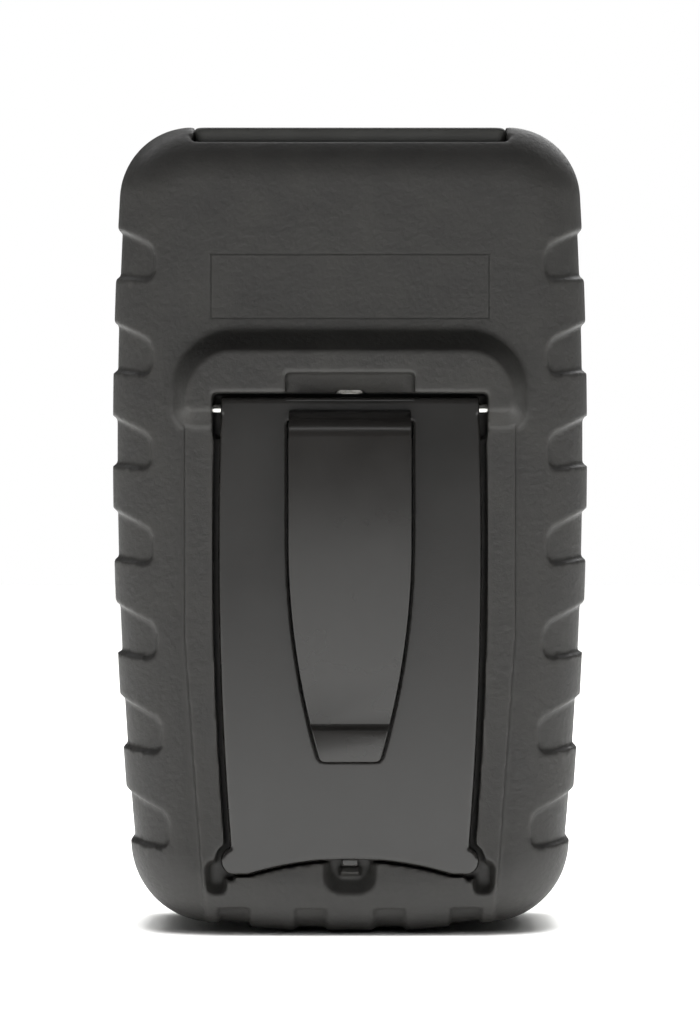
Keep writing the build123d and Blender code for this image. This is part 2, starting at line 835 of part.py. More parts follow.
def make_rear_housing():
    shell = housing_form(0) - housing_form(housing_wall)
    shell = shell + (bosses(parting_y, inner_back_y) & housing_form(0))
    shell = shell & box(-boot_width, boot_width, parting_y, boot_width, 0, boot_height)
    sunk_y = housing_back_y - 2 * screw_head_height
    for x, z in screw_places():
        shell = shell - rod_y(x, z, screw_radius + screw_clearance, parting_y - 1, housing_back_y)
        shell = shell - rod_y(x, z, screw_head_radius + screw_clearance, sunk_y, housing_back_y + 1)
    shell = shell - gasket_ring()
    rebate_y = housing_back_y - door_thickness - door_seal_thickness
    for x, z in door_screw_places():
        shell = shell + rod_y(x, z, door_boss_radius, inner_back_y - door_boss, inner_back_y + lap)
    shell = shell - along_y(door_form(0), rebate_y, housing_back_y + 1)
    shell = shell - door_panel(-door_lap, inner_back_y - door_boss - 1, housing_back_y)
    for x, z in door_screw_places():
        shell = shell - rod_y(x, z, door_screw_radius, inner_back_y - door_boss + 1, housing_back_y)
    cradle_half = motor_radius + motor_cradle_wall
    cradle = box(motor_x, motor_x + motor_cradle_length, motor_y - motor_radius / 2, inner_back_y,
                 motor_z - cradle_half, motor_z + cradle_half)
    bore = rod_x(motor_y, motor_z, motor_radius, motor_x - 1, motor_x + motor_length)
    return shell + cradle - bore - port_opening()


def make_front_housing():
    shell = housing_form(0) - housing_form(housing_wall)
    shell = shell + (bosses(inner_front_y, parting_y) & housing_form(0))
    shell = shell & box(-boot_width, boot_width, -boot_width, parting_y, 0, boot_height)
    bezel = panel(window_half - bezel_gap, window_base + bezel_gap, window_top_z - bezel_gap,
                  window_radius - bezel_gap)
    shell = shell + along_y(bezel, bezel_face_y, inner_front_y)
    for x, z in screw_places():
        shell = shell - rod_y(x, z, screw_radius, parting_y - screw_bite - 1, parting_y + 1)
    lens_top = lens_base_z + lens_height
    seat = panel(lens_half, lens_base_z, lens_top, lens_radius)
    view = panel(lens_half - lens_ledge, lens_base_z + lens_ledge, lens_top - lens_ledge, lens_radius / 2)
    shell = shell - along_y(seat, bezel_face_y - 1, bezel_face_y + lens_thickness)
    shell = shell - along_y(view, bezel_face_y - 1, inner_front_y + 1)
    seat = panel(cover_half, sensor_z - cover_height / 2, sensor_z + cover_height / 2, cover_radius)
    shell = shell - along_y(seat, bezel_face_y - 1, bezel_face_y + cover_thickness)
    filter_y = bezel_face_y + cover_thickness + filter_thickness
    for x in sensor_places():
        shell = shell - rod_y(x, sensor_z, sensor_mouth_radius, bezel_face_y, inner_front_y + 1)
        shell = shell - rod_y(x, sensor_z, filter_radius, bezel_face_y, filter_y)
    for x, z in cover_screw_places():
        shell = shell - rod_y(x, z, cover_screw_radius, bezel_face_y, inner_front_y - cover_screw_floor)
    for shape in key_shapes(part_gap).values():
        shell = shell - along_y(shape, bezel_face_y - 1, inner_front_y + 1)
    hole = Circle(sounder_hole_radius)
    ring = PolarLocations(sounder_ring_radius, sounder_holes)
    holes = [Pos(0, sounder_z) * hole] + [Pos(0, sounder_z) * place * hole for place in ring]
    for shape in holes:
        shell = shell - along_y(shape, bezel_face_y - 1, inner_front_y + 1)
    for x, z in board_screw_places():
        shell = shell + rod_y(x, z, post_radius, inner_front_y, board_y)
        shell = shell - rod_y(x, z, cover_screw_radius, inner_front_y - post_bore, board_y + 1)
    for x in cap_screw_places():
        shell = shell - rod_z(x, cap_screw_y, cover_screw_radius, housing_top_z - 2 * housing_wall,
                              housing_top_z + 1)
    return shell - port_opening()


def make_screws():
    """Six socket screws, in from the back."""
    solids = []
    head_y = housing_back_y - 2 * screw_head_height
    for x, z in screw_places():
        head = rod_y(x, z, screw_head_radius, head_y, head_y + screw_head_height)
        shank = rod_y(x, z, screw_radius, parting_y - screw_bite, head_y)
        socket = Pos(x, z) * RegularPolygon(screw_radius, socket_sides)
        key_hole = along_y(socket, head_y + screw_head_height / 2, head_y + screw_head_height + 1)
        solids.append(head + shank - key_hole)
    return Compound(children=solids)


def small_screws(places, head_y, tip_y, head_radius, radius, head_height):
    """Small cross-head screws along y, with their heads at one depth and their tips at another."""
    outward = 1 if head_y > tip_y else -1
    seat_y = head_y - outward * head_height
    solids = []
    for x, z in places:
        head = rod_y(x, z, head_radius, min(head_y, seat_y), max(head_y, seat_y))
        shank = rod_y(x, z, radius, min(seat_y, tip_y), max(seat_y, tip_y))
        floor_y = head_y - outward * head_height / 2
        long_half = head_radius * cross_share
        for half_x, half_z in ((long_half, cross_half), (cross_half, long_half)):
            head = head - box(x - half_x, x + half_x, min(head_y, floor_y), max(head_y, floor_y),
                              z - half_z, z + half_z)
        solids.append(head + shank)
    return Compound(children=solids)


def make_door():
    face_y = housing_back_y
    door = along_y(door_form(part_gap), face_y - door_thickness, face_y)
    for x, z in door_screw_places():
        door = door - rod_y(x, z, door_screw_radius + screw_clearance, face_y - door_thickness - 1,
                            face_y + 1)
        door = door - rod_y(x, z, cover_screw_head + screw_clearance, face_y - door_head_height - head_sink,
                            face_y + 1)
    grip = panel(door_grip_half, door_base_z + door_grip_low, door_base_z + door_grip_high,
                 door_grip_radius)
    return door - along_y(grip, face_y - door_thickness / 2, face_y + 1)


def make_door_seal():
    rebate_y = housing_back_y - door_thickness - door_seal_thickness
    ring = door_panel(-part_gap, rebate_y, rebate_y + door_seal_thickness)
    return ring - door_panel(-door_lap + part_gap, rebate_y - 1, housing_back_y)


# battery
tray_floor_y = inner_back_y - 2 * cell_radius - tray_depth_spare
cell_y = tray_floor_y + tray_wall + cell_radius + cell_seat
cell_middle_z = door_base_z + door_height / 2
tray_half = door_half - door_lap
tray_reach = door_height / 2 - door_lap


def make_tray():
    """The open box that holds the two cells, glued round the door's opening."""
    outer = box(-tray_half - tray_wall, tray_half + tray_wall, tray_floor_y, inner_back_y,
                cell_middle_z - tray_reach - tray_wall, cell_middle_z + tray_reach + tray_wall)
    inner = box(-tray_half, tray_half, tray_floor_y + tray_wall, inner_back_y + 1,
                cell_middle_z - tray_reach, cell_middle_z + tray_reach)
    tray = outer - inner
    for side in (-1, 1):
        z = cell_middle_z + side * cell_length / 3
        tray = tray + box(-tray_half, tray_half, tray_floor_y, cell_y,
                          z - tray_saddle / 2, z + tray_saddle / 2)
    for side in (-1, 1):
        tray = tray - rod_z(side * cell_pitch / 2, cell_y, cell_radius + fit_gap,
                            cell_middle_z - tray_reach, cell_middle_z + tray_reach)
    return tray


def make_cell(side):
    """One cell, with its raised cap at one end: the two lie head to tail."""
    x = side * cell_pitch / 2
    low = cell_middle_z - cell_length / 2
    cell = rod_z(x, cell_y, cell_radius, low, low + cell_length)
    cell = fillet(cell.edges().filter_by(GeomType.CIRCLE), cell_edge)
    cap_z = cell_middle_z + side * cell_length / 2
    return cell + rod_z(x, cell_y, cell_cap_radius, cap_z - cell_cap_height, cap_z + cell_cap_height)


def make_contacts(end):
    """The contact plate at one end, with a conical spring's outline for each cell."""
    wall_z = cell_middle_z + end * tray_reach
    plate_z = wall_z - end * contact_thickness
    low = min(wall_z, plate_z)
    half = cell_pitch / 2 + contact_spring_radius
    plate = box(-half, half, cell_y - contact_spring_radius, cell_y + contact_spring_radius, low,
                low + contact_thickness)
    for side in (-1, 1):
        cap = cell_cap_height if side == end else 0
        stop_z = cell_middle_z + end * (cell_length / 2 + cap)
        height = abs(plate_z - stop_z)
        cone = Cone(contact_spring_radius, contact_spring_tip, height)
        turn = 0 if end < 0 else 180
        plate = plate + Pos(side * cell_pitch / 2, cell_y, (plate_z + stop_z) / 2) * Rot(turn, 0, 0) * cone
    return plate


# front controls and electronics
def make_lens():
    lens = panel(lens_half - fit_gap, lens_base_z + fit_gap, lens_base_z + lens_height - fit_gap,
                 lens_radius)
    return along_y(lens, bezel_face_y, bezel_face_y + lens_thickness)


def make_display():
    """The display module, clamped between the housing's front and the main board."""
    low = lens_base_z + display_inset
    high = lens_base_z + lens_height - display_inset
    module_y = inner_front_y + display_thickness
    module = box(-display_half, display_half, inner_front_y, module_y, low, high)
    ribbon = box(-display_half / 2, display_half / 2, module_y, board_y, low, low + ribbon_height)
    return module + ribbon


def make_key(name):
    """A key: a cap that stands out of the bezel, on a flange behind it."""
    cap = along_y(key_shapes(0)[name], bezel_face_y - key_proud, inner_front_y)
    cap = fillet(cap.edges().group_by(Axis.Y)[0], key_edge)
    return cap + along_y(key_shapes(key_flange)[name], inner_front_y, inner_front_y + key_flange_thickness)


def make_mat():
    """The elastomer mat on the main board, with a dome's outline for each key."""
    low = power_key_z - power_key_radius - mat_margin
    high = key_row_z + key_half_z + mat_margin
    return along_y(panel(mat_half, low, high, mat_radius), board_y - mat_thickness, board_y)


def make_sensor(x):
    """One electrochemical cell: a can with a raised mouth and three pins."""
    can = rod_y(x, sensor_z, sensor_radius, inner_front_y, inner_front_y + sensor_length)
    can = chamfer(can.edges().filter_by(GeomType.CIRCLE), sensor_edge)
    mouth = rod_y(x, sensor_z, sensor_mouth_radius - part_gap, inner_front_y - sensor_mouth_rise,
                  inner_front_y + 1)
    back = inner_front_y + sensor_length
    pins = [rod_y(x + place.position.X, sensor_z + place.position.Y, sensor_pin_radius,
                  back - sensor_edge, back + board_thickness)
            for place in PolarLocations(sensor_pin_circle, sensor_pins)]
    return joined([can, mouth] + pins)


def make_sensor_board():
    y = inner_front_y + sensor_length
    half_z = sensor_radius + sensor_board_margin
    back = y + board_thickness
    board = box(-board_half, board_half, y, back, sensor_z - half_z, sensor_z + half_z)
    for x in sensor_places():
        for place in PolarLocations(sensor_pin_circle, sensor_pins):
            board = board - rod_y(x + place.position.X, sensor_z + place.position.Y, sensor_pin_radius,
                                  y - 1, back + 1)
    return board + box(-amplifier_half_x, amplifier_half_x, back, back + amplifier_height,
                       sensor_z - amplifier_half_z, sensor_z + amplifier_half_z)


def make_sensor_cover():
    """The slotted cover over the sensors' mouths."""
    low = sensor_z - cover_height / 2 + fit_gap
    high = sensor_z + cover_height / 2 - fit_gap
    floor_y = bezel_face_y + cover_thickness
    cover = along_y(panel(cover_half - fit_gap, low, high, cover_radius), bezel_face_y, floor_y)
    slot_half = sensor_mouth_radius + cover_slot_margin
    slots = int(2 * slot_half / grille_pitch)
    for x in sensor_places():
        for i in range(slots):
            z = sensor_z + grille_pitch * (i - (slots - 1) / 2)
            slot = Pos(x, z) * SlotOverall(2 * slot_half, grille_pitch - grille_bar)
            cover = cover - along_y(slot, bezel_face_y - 1, floor_y + 1)
    for x, z in cover_screw_places():
        cover = cover - rod_y(x, z, cover_screw_radius + screw_clearance, bezel_face_y - 1, floor_y + 1)
        cover = cover - rod_y(x, z, cover_screw_head + screw_clearance, bezel_face_y - 1,
                              bezel_face_y + small_head_height + head_sink)
    return cover


def make_filter(x):
    y = bezel_face_y + cover_thickness
    return rod_y(x, sensor_z, filter_radius - fit_gap, y, y + filter_thickness)


def make_main_board():
    """The main board with its larger parts."""
    board = box(-board_half, board_half, board_y, board_back_y, board_base_z, board_top_z)
    for x, z in board_screw_places():
        board = board - rod_y(x, z, cover_screw_radius + screw_clearance, board_y - 1, board_back_y + 1)
    low_z = cell_middle_z + tray_reach + tray_wall + board_part_gap
    processor = box(-processor_half, processor_half, board_back_y, board_back_y + processor_height,
                    low_z, low_z + 2 * processor_half)
    coil = rod_y(coil_x, low_z + processor_half, coil_radius, board_back_y, board_back_y + coil_height)
    memory_z = low_z + memory_rise
    memory = box(memory_x - memory_half, memory_x + memory_half, board_back_y,
                 board_back_y + memory_height, memory_z, memory_z + memory_length)
    header_z = low_z + header_rise
    header = box(header_x - header_half, header_x + header_half, board_back_y,
                 board_back_y + header_height, header_z, header_z + header_depth)
    return board + processor + coil + memory + header


def make_sounder():
    disc = rod_y(0, sounder_z, sounder_radius, inner_front_y, inner_front_y + sounder_thickness)
    lead = box(-1, 1, inner_front_y + sounder_thickness, board_y, sounder_z - 1, sounder_z + 1)
    return disc + lead


def make_motor():
    """The vibration motor, pressed into its cradle."""
    can = rod_x(motor_y, motor_z, motor_radius, motor_x, motor_x + motor_length)
    nose = rod_x(motor_y, motor_z, motor_nose_radius, motor_x - motor_nose_length, motor_x)
    bore = rod_x(motor_y, motor_z, motor_shaft_radius + pin_clearance, motor_x - 1,
                 motor_x + motor_shaft_grip)
    return can + nose - bore


def make_shaft():
    return rod_x(motor_y, motor_z, motor_shaft_radius, motor_x - motor_shaft_length,
                 motor_x + motor_shaft_grip - part_gap)


def make_weight():
    """The eccentric weight: most of a disc's half, on the shaft's end."""
    end_x = motor_x - motor_shaft_length + weight_end
    disc = rod_x(motor_y, motor_z, weight_radius, end_x, end_x + weight_length)
    half = box(end_x - 1, end_x + weight_length + 1, motor_y - weight_radius, motor_y + weight_radius,
               motor_z + motor_shaft_radius + weight_web, motor_z + weight_radius)
    return disc - half - rod_x(motor_y, motor_z, motor_shaft_radius, end_x - 1, end_x + weight_length + 1)


# top end
flap_axis_x = port_x + flap_half + barrel_radius
flap_axis_z = cap_top_z - barrel_radius


def port_room():
    """The recess for the port cover and its barrel, in the cap's top."""
    room = box(port_x - flap_half - part_gap, flap_axis_x, port_y - flap_half - part_gap,
               port_y + flap_half + part_gap, cap_top_z - flap_thickness - part_gap, cap_top_z + 1)
    hinge = rod_y(flap_axis_x, flap_axis_z, barrel_radius + part_gap, port_y - flap_half - part_gap,
                  port_y + flap_half + part_gap)
    mouth = box(flap_axis_x - 1, flap_axis_x + barrel_radius + part_gap, port_y - flap_half - part_gap,
                port_y + flap_half + part_gap, flap_axis_z, cap_top_z + 1)
    return room + hinge + mouth


def make_cap():
    """The hard cap in the boot's top end, with seats for the alarm lens and the port cover."""
    cap = box(-cap_half, cap_half, cap_front_y, cap_back_y, housing_top_z, cap_top_z)
    cap = fillet(cap.edges().filter_by(Axis.Z), cap_corner)
    cap = fillet(cap.edges().group_by(Axis.Z)[-1], cap_edge)
    lens = Pos(0, alarm_y) * RectangleRounded(2 * alarm_half, alarm_depth, alarm_radius)
    cap = cap - extrude(Pos(0, 0, cap_top_z - alarm_thickness) * lens, alarm_thickness + 1)
    lamp_room = Pos(0, alarm_y) * RectangleRounded(2 * alarm_half - 2, alarm_depth - 2, alarm_radius / 2)
    cap = cap - extrude(Pos(0, 0, housing_top_z) * lamp_room, cap_top_z)
    cap = cap - port_room()
    cap = cap - box(port_x - port_half, port_x + port_half, port_y - port_half, port_y + port_half,
                    housing_top_z - 1, cap_top_z)
    pin_end = port_y + flap_half + part_gap + 2
    cap = cap - rod_y(flap_axis_x, flap_axis_z, barrel_pin_radius, 2 * port_y - pin_end, pin_end)
    for x in cap_screw_places():
        shank_room = cover_screw_radius + screw_clearance
        cap = cap - rod_z(x, cap_screw_y, shank_room, housing_top_z - 1, cap_top_z + 1)
        head_room = cover_screw_head + screw_clearance
        cap = cap - rod_z(x, cap_screw_y, head_room, cap_top_z - 2 * small_head_height, cap_top_z + 1)
    return cap


def cap_screw_places():
    return [-cap_screw_x, cap_screw_x]


def make_cap_screws():
    solids = []
    head_z = cap_top_z - small_head_height
    for x in cap_screw_places():
        head = rod_z(x, cap_screw_y, cover_screw_head, head_z - small_head_height, head_z)
        shank = rod_z(x, cap_screw_y, cover_screw_radius, housing_top_z - housing_wall, head_z)
        long_half = cover_screw_head * cross_share
        for half_x, half_y in ((long_half, cross_half), (cross_half, long_half)):
            head = head - box(x - half_x, x + half_x, cap_screw_y - half_y, cap_screw_y + half_y,
                              head_z - small_head_height / 2, head_z)
        solids.append(head + shank)
    return Compound(children=solids)


def make_alarm_lens():
    width = 2 * (alarm_half - fit_gap)
    plan = Pos(0, alarm_y) * RectangleRounded(width, alarm_depth - 2 * fit_gap, alarm_radius)
    lens = extrude(Pos(0, 0, cap_top_z - alarm_thickness) * plan, alarm_thickness)
    return fillet(lens.edges().group_by(Axis.Z)[-1], alarm_edge)


def make_alarm_board():
    """The lamp board under the alarm lens, with a row of lamps."""
    half_x = alarm_half - lamp_margin
    half_y = alarm_depth / 2 - lamp_margin
    floor_z = housing_top_z + lamp_board_thickness
    board = box(-half_x, half_x, alarm_y - half_y, alarm_y + half_y, housing_top_z, floor_z)
    lamp_places = [(i - (lamp_count - 1) / 2) * lamp_pitch for i in range(lamp_count)]
    lamps = [box(x - lamp_half, x + lamp_half, alarm_y - lamp_half, alarm_y + lamp_half, floor_z,
                 cap_top_z - alarm_thickness - part_gap)
             for x in lamp_places]
    return joined([board] + lamps)


def pad_places():
    pitch = 2 * port_half / (pad_count + 0.5)
    return [port_x + pitch * (i - (pad_count - 1) / 2) for i in range(pad_count)]


def make_contact_block():
    """The insulating block that carries the charging pads."""
    top_z = cap_top_z - flap_thickness - part_gap
    block = box(port_x - port_half, port_x + port_half, port_y - port_half, port_y + port_half,
                housing_top_z - port_block_depth, top_z)
    for x in pad_places():
        block = block - box(x - pad_half, x + pad_half, port_y - 2, port_y + 2, top_z - 0.5, top_z + 1)
    return block


def make_pads():
    top_z = cap_top_z - flap_thickness - part_gap
    return Compound(children=[box(x - pad_half, x + pad_half, port_y - 2, port_y + 2, top_z - 0.5, top_z)
                              for x in pad_places()])


def make_port_cover():
    """The port cover: a flat flap on a round barrel, with a finger nick."""
    flap = box(port_x - flap_half, flap_axis_x, port_y - flap_half, port_y + flap_half,
               cap_top_z - flap_thickness, cap_top_z)
    barrel = rod_y(flap_axis_x, flap_axis_z, barrel_radius, port_y - flap_half, port_y + flap_half)
    nick = rod_y(port_x - flap_half, cap_top_z, flap_nick_radius, port_y - flap_nick_half,
                 port_y + flap_nick_half)
    bore = rod_y(flap_axis_x, flap_axis_z, barrel_pin_radius + pin_clearance, port_y - boot_width,
                 port_y + boot_width)
    return flap + barrel - nick - bore


def make_port_pin():
    pin_end = port_y + flap_half + part_gap + 2
    return rod_y(flap_axis_x, flap_axis_z, barrel_pin_radius, 2 * port_y - pin_end, pin_end)


save("boot", make_boot())
save("stand", make_stand())
save("belt_clip", make_clip())
save("hinge_pins", make_pins())
save("stand_detent", make_detent())
save("rear_housing", make_rear_housing())
save("front_housing", make_front_housing())
save("housing_gasket", gasket_ring())
save("housing_screws", make_screws())
save("battery_door", make_door())
save("battery_door_seal", make_door_seal())
save("battery_door_screws", small_screws(door_screw_places(), housing_back_y - head_sink,
                                         inner_back_y - door_boss + 1, cover_screw_head, door_screw_radius,
                                         door_head_height))
save("battery_tray", make_tray())
for number, side in ((1, -1), (2, 1)):
    save(f"battery_cell_{number}", make_cell(side))
save("battery_contacts_base", make_contacts(-1))
save("battery_contacts_top", make_contacts(1))
save("display_lens", make_lens())
save("display_module", make_display())
for name in key_shapes(0):
    save(f"{name}_key", make_key(name))
save("key_mat", make_mat())
save("main_board", make_main_board())
save("main_board_screws", small_screws(board_screw_places(), board_back_y + small_head_height,
                                       inner_front_y - 1, cover_screw_head, cover_screw_radius,
                                       small_head_height))
save("sounder", make_sounder())
for number, x in enumerate(sensor_places(), 1):
    save(f"gas_sensor_{number}", make_sensor(x))
    save(f"sensor_filter_{number}", make_filter(x))
save("sensor_board", make_sensor_board())
save("sensor_cover", make_sensor_cover())
save("sensor_cover_screws", small_screws(cover_screw_places(), bezel_face_y + head_sink, inner_front_y - 0.6,
                                         cover_screw_head, cover_screw_radius, small_head_height))
save("vibration_motor", make_motor())
save("motor_shaft", make_shaft())
save("motor_weight", make_weight())
save("top_cap", make_cap())
save("top_cap_screws", make_cap_screws())
save("alarm_lens", make_alarm_lens())
save("alarm_board", make_alarm_board())
save("charge_block", make_contact_block())
save("charge_pads", make_pads())
save("port_cover", make_port_cover())
save("port_cover_pin", make_port_pin())
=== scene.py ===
import bpy
import bmesh
import json
import math
from mathutils import Matrix, Vector

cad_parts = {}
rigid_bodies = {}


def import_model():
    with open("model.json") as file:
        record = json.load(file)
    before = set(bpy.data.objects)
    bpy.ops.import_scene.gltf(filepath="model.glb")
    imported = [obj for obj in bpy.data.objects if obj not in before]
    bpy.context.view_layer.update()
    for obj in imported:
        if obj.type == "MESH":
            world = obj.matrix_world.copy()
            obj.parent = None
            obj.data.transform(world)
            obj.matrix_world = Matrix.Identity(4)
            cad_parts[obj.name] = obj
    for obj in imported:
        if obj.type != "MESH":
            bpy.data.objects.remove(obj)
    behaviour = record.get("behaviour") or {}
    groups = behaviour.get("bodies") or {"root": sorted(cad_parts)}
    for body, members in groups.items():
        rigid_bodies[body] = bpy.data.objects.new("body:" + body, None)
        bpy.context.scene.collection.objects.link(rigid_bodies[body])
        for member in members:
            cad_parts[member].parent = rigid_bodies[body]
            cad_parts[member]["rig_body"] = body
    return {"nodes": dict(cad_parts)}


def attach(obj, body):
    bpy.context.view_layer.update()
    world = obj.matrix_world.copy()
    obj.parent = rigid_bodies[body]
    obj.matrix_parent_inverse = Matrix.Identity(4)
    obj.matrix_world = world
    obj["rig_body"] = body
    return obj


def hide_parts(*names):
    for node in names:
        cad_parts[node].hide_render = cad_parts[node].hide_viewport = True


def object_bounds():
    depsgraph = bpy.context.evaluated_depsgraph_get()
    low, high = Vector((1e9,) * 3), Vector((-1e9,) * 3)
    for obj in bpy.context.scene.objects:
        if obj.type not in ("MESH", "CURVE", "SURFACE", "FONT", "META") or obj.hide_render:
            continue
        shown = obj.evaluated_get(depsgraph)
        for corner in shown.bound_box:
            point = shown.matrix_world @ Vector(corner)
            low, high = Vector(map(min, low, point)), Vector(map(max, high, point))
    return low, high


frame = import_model()
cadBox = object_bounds()
nodes = frame["nodes"]
scene = bpy.context.scene
mm = 0.001
weldDistance = 0.001 * mm   # corners closer than this are one corner


# camera: level with the middle of the case, looking at the stand side

cameraSettings = {
    "distance": 700 * mm,   # from the widest plane of the case
    "plane": 8 * mm,
    "height": 87.4 * mm,
    "lens": 121.3,
    "nearest": 10 * mm,
}


def makeCamera(look):
    data = bpy.data.cameras.new("camera")
    data.lens = look["lens"]
    data.clip_start = look["nearest"]
    camera = bpy.data.objects.new("camera", data)
    camera.location = (0, look["plane"] + look["distance"], look["height"])
    camera.rotation_euler = (math.radians(90), 0, math.radians(180))
    scene.collection.objects.link(camera)
    scene.camera = camera


makeCamera(cameraSettings)
print("camera placed")


# nodes for materials

waveRate = 20               # the wave texture turns this many radians per unit of scale
gridRange = (0.35, 0.85)    # levels of a noise with a faint grid added
twoNoises = (0.7, 1.3)      # levels of two noises added together
wearAndHighlightRange = (0.5, 0.58)     # pointiness from flat face to rubbed corner, where wear and a painted highlight lighten the colour


def linear(hexColour):
    parts = [int(hexColour[i:i + 2], 16) / 255 for i in (1, 3, 5)]
    return tuple(c / 12.92 if c <= 0.04045 else ((c + 0.055) / 1.055) ** 2.4 for c in parts) + (1.0,)


def perMm(size):
    return 1 / (size * mm)   # texture scale for a pattern of this size in mm


def addNode(material, kind, values=None, links=None, **settings):
    node = material.node_tree.nodes.new(kind)
    for name, value in settings.items():
        setattr(node, name, value)
    for socket, value in (values or {}).items():
        node.inputs[socket].default_value = value
    for socket, source in (links or {}).items():
        material.node_tree.links.new(source, node.inputs[socket])
    return node


def newMaterial(name, **shaderValues):
    material = bpy.data.materials.new(name)
    material.use_nodes = True
    shader = material.node_tree.nodes["Principled BSDF"]
    for socket, value in shaderValues.items():
        shader.inputs[socket.replace("_", " ")].default_value = value
    place = addNode(material, "ShaderNodeTexCoord").outputs["Object"]
    return material, shader, place


def noise(material, place, size, detail=2.0, roughness=0.5):
    return addNode(material, "ShaderNodeTexNoise",
                   {"Scale": perMm(size), "Detail": detail, "Roughness": roughness},
                   {"Vector": place}).outputs["Fac"]


def spread(material, source, low, high, fromLow=0.3, fromHigh=0.7):
    return addNode(material, "ShaderNodeMapRange",
                   {"From Min": fromLow, "From Max": fromHigh, "To Min": low, "To Max": high},
                   {"Value": source}).outputs["Result"]


def blendColour(material, factor, dark, light):
    return addNode(material, "ShaderNodeMix", {6: linear(dark), 7: linear(light)}, {0: factor},
                   data_type="RGBA").outputs[2]


def sum2(material, a, b, share):
    return addNode(material, "ShaderNodeMath", {2: 0.0, 1: share}, {0: b, 2: a},
                   operation="MULTIPLY_ADD").outputs["Value"]


def link(material, source, shader, socket):
    material.node_tree.links.new(source, shader.inputs[socket])


def bump(material, shader, height, depth, strength=1.0):
    made = addNode(material, "ShaderNodeBump", {"Strength": strength, "Distance": depth * mm},
                   {"Height": height})
    link(material, made.outputs["Normal"], shader, "Normal")


def edgeWearAndHighlight(material, colour, look):
    # rubbed corners are painted lighter than the faces beside them: partly wear, partly a painted highlight
    # where they would catch the light
    convex = spread(material, addNode(material, "ShaderNodeNewGeometry").outputs["Pointiness"],
                    0.0, look["wearAndHighlightShare"], *wearAndHighlightRange)
    return addNode(material, "ShaderNodeMix", {7: linear(look["edge"])}, {0: convex, 6: colour},
                   data_type="RGBA").outputs[2]


def mouldedSurface(name, look):
    # melt-flow patches in the colour, tool grain in the bump, both in the gloss
    material, shader, place = newMaterial(name, IOR=look["ior"])
    patches = noise(material, place, look["patch"], 3.0)
    grain = noise(material, place, look["grain"], 3.0, 0.6)
    colour = blendColour(material, spread(material, patches, 0.0, 1.0), look["dark"], look["light"])
    # the rubbed edges get wear plus a painted highlight over the moulded colour
    link(material, edgeWearAndHighlight(material, colour, look), shader, "Base Color")
    gloss = sum2(material, patches, grain, 1.0)
    link(material, spread(material, gloss, *look["rough"], *twoNoises), shader, "Roughness")
    pits = addNode(material, "ShaderNodeTexVoronoi", {"Scale": perMm(look["grain"] * 1.7)}, {"Vector": place},
                   feature="SMOOTH_F1").outputs["Distance"]
    bump(material, shader, sum2(material, grain, pits, look["pits"]), look["depth"])
    return material


# thermoplastic rubber over-moulding from a spark-eroded tool: leathery grain, soft wide sheen
bootRubber = mouldedSurface("rubberMouldedGrained", {
    "dark": "#222120", "light": "#2a2927", "edge": "#3f3d3b", "wearAndHighlightShare": 0.35, "ior": 1.5,
    "patch": 9.0, "grain": 0.9, "pits": 0.6, "depth": 0.09, "rough": (0.5, 0.62)})

# ABS from a fine satin tool: even, smooth, with a clear soft reflection
standAbs = mouldedSurface("absMouldedSatin", {
    "dark": "#1b1a19", "light": "#201f1e", "edge": "#3c3937", "wearAndHighlightShare": 0.3, "ior": 1.54,
    "patch": 14.0, "grain": 0.25, "pits": 0.3, "depth": 0.006, "rough": (0.2, 0.26)})

# acetal, for the clip's spring: a little waxier and glossier than the plate round it
clipAcetal = mouldedSurface("acetalMouldedSatin", {
    "dark": "#1a1918", "light": "#1f1e1d", "edge": "#3c3937", "wearAndHighlightShare": 0.3, "ior": 1.48,
    "patch": 11.0, "grain": 0.22, "pits": 0.3, "depth": 0.005, "rough": (0.18, 0.24)})

# glass-filled ABS cap: dry, fine matt texture
capAbs = mouldedSurface("absMouldedMatt", {
    "dark": "#2b2b29", "light": "#323230", "edge": "#454441", "wearAndHighlightShare": 0.3, "ior": 1.54,
    "patch": 8.0, "grain": 0.35, "pits": 0.4, "depth": 0.02, "rough": (0.42, 0.52)})

# ABS and polycarbonate blend of the front: fine matt, slightly lighter than the boot
bezelAbs = mouldedSurface("absPolycarbonateMoulded", {
    "dark": "#3c3c3d", "light": "#454546", "edge": "#5c5c5c", "wearAndHighlightShare": 0.3, "ior": 1.56,
    "patch": 12.0, "grain": 0.4, "pits": 0.5, "depth": 0.02, "rough": (0.38, 0.48)})

# inner casing, polycarbonate blend straight off a plain tool
housingAbs = mouldedSurface("absMouldedPlain", {
    "dark": "#333334", "light": "#3a3a3b", "edge": "#4c4c4c", "wearAndHighlightShare": 0.3, "ior": 1.56,
    "patch": 15.0, "grain": 0.5, "pits": 0.3, "depth": 0.012, "rough": (0.34, 0.44)})

# the sensor grille's blend, dyed through in signal grey
coverAbs = mouldedSurface("absMouldedGrille", {
    "dark": "#1d1e1f", "light": "#242526", "edge": "#3c3d3e", "wearAndHighlightShare": 0.35, "ior": 1.54,
    "patch": 7.0, "grain": 0.3, "pits": 0.5, "depth": 0.018, "rough": (0.4, 0.5)})

# silicone keypad: powdery, with the faint orange-peel of a coated key
keySilicone = mouldedSurface("siliconeMouldedCoated", {
    "dark": "#5b5d60", "light": "#64666a", "edge": "#797b7e", "wearAndHighlightShare": 0.3, "ior": 1.43,
    "patch": 5.0, "grain": 0.5, "pits": 0.6, "depth": 0.015, "rough": (0.48, 0.6)})

# nitrile seals: plain dull black
sealNitrile = mouldedSurface("nitrileMoulded", {
    "dark": "#161616", "light": "#1f1f1f", "edge": "#2d2d2d", "wearAndHighlightShare": 0.3, "ior": 1.52,
    "patch": 4.0, "grain": 0.4, "pits": 0.5, "depth": 0.02, "rough": (0.55, 0.7)})


